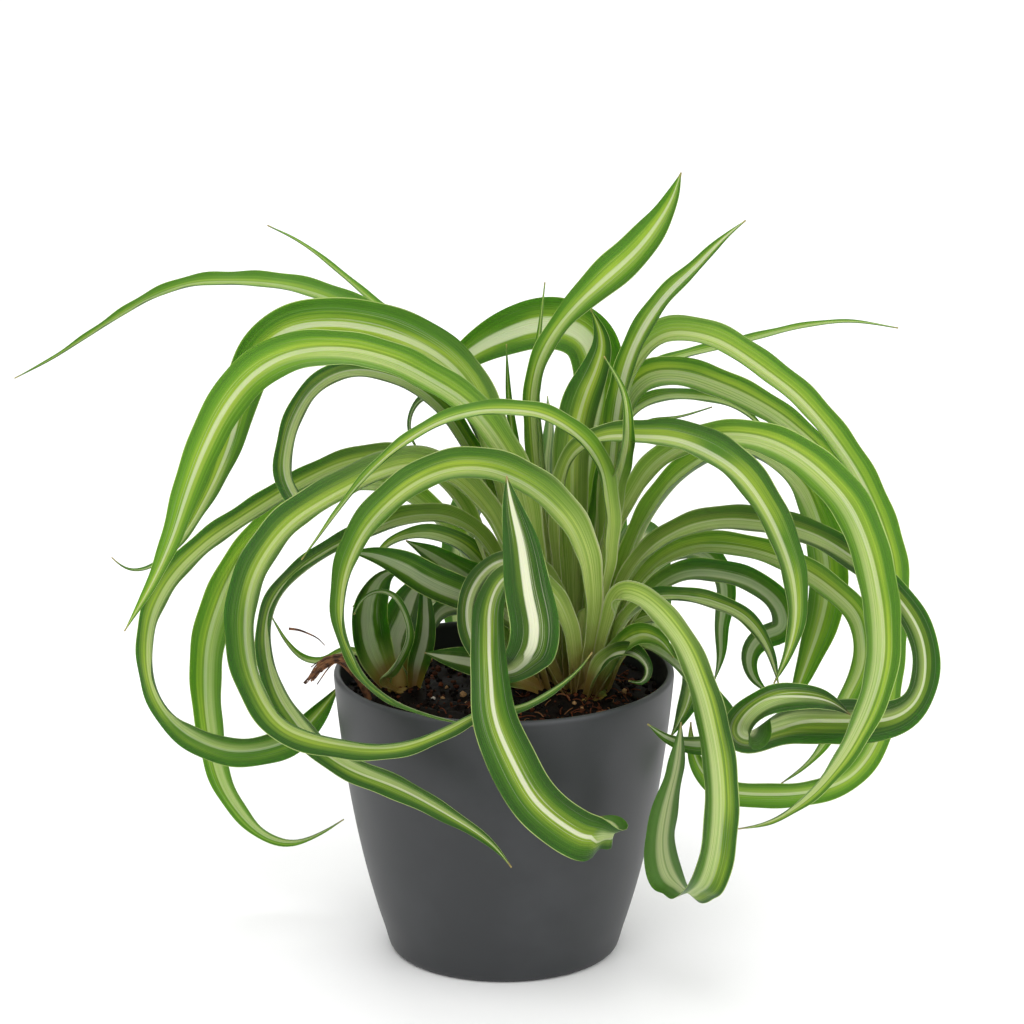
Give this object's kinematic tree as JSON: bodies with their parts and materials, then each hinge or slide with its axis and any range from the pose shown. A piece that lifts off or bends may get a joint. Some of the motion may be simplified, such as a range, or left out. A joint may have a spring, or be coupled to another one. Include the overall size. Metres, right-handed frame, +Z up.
{
  "type": "potted spider plant",
  "caption": "Arching house plant with long folded striped leaves, growing from two crowns in a tapered round plant pot filled with soil.",
  "frame": {"origin": "centre of the flat foot of the pot, on the surface that it stands on", "axes": "+Z up along the pot's axis; +X to the right as seen in the picture, along the plant's widest spread; +Y away from the picture's viewpoint, across its narrowest spread"},
  "size_m": [0.3853, 0.2731, 0.3217],
  "materials": {
    "pot_plastic": "matte anthracite moulded plastic with a soft satin sheen",
    "potting_soil": "dark damp crumbly potting soil with tan and white specks",
    "dry_roots": "dry fibrous brown roots",
    "leaf_sheath": "pale yellow-green clasping leaf bases, orange-brown at the soil",
    "leaf_blade": "satin green leaf with a cream centre stripe, fine parallel veins and a paler underside"
  },
  "bodies": {
    "root": {"pot": "pot_plastic", "crown": "leaf_sheath", "crown_offset": "leaf_sheath", "root_tuft": "dry_roots", "soil": "potting_soil", "leaf_left_long": "leaf_blade", "leaf_left_spike": "leaf_blade", "leaf_left_back_broad": "leaf_blade", "leaf_left_front": "leaf_blade", "leaf_left_inner_loop": "leaf_blade", "leaf_left_low_loop": "leaf_blade", "leaf_left_hanging": "leaf_blade", "leaf_left_outer_loop": "leaf_blade", "leaf_front_inner_loop": "leaf_blade", "leaf_left_crossing": "leaf_blade", "leaf_over_top": "leaf_blade", "leaf_left_back_curl": "leaf_blade", "leaf_front_hanging": "leaf_blade", "leaf_front_curled_up": "leaf_blade", "leaf_front_dark_blade": "leaf_blade", "leaf_inner_blade_upper": "leaf_blade", "leaf_inner_blade_back": "leaf_blade", "leaf_soil_low": "leaf_blade", "leaf_shaded_arc": "leaf_blade", "leaf_right_front_loop": "leaf_blade", "leaf_right_spiral": "leaf_blade", "leaf_right_spiral_inner": "leaf_blade", "leaf_right_front_arch": "leaf_blade", "leaf_right_great_arch": "leaf_blade", "leaf_right_inner_arch": "leaf_blade", "leaf_right_outer_arch": "leaf_blade", "leaf_right_back_arch": "leaf_blade", "leaf_right_back_short": "leaf_blade", "leaf_right_thin": "leaf_blade", "leaf_right_sliver": "leaf_blade", "leaf_right_low_arch": "leaf_blade", "leaf_right_small": "leaf_blade", "leaf_right_soil_curl": "leaf_blade", "leaf_right_hidden_tail": "leaf_blade", "leaf_right_back_hanging": "leaf_blade", "leaf_right_back_curl": "leaf_blade", "leaf_right_over_rim": "leaf_blade", "leaf_top_tall": "leaf_blade", "leaf_top_right": "leaf_blade", "leaf_top_folded": "leaf_blade", "leaf_top_back_arch": "leaf_blade", "leaf_young_left": "leaf_blade", "leaf_young_centre": "leaf_blade", "leaf_young_right": "leaf_blade", "leaf_back_long": "leaf_blade", "leaf_back_left": "leaf_blade", "leaf_back_right": "leaf_blade", "leaf_back_low_left": "leaf_blade", "leaf_back_loop": "leaf_blade", "leaf_back_young": "leaf_blade", "leaf_offset_upright": "leaf_blade", "leaf_offset_curl": "leaf_blade", "leaf_offset_folded": "leaf_blade", "leaf_offset_broad": "leaf_blade", "leaf_offset_over_rim": "leaf_blade"}
  },
  "joints": []
}
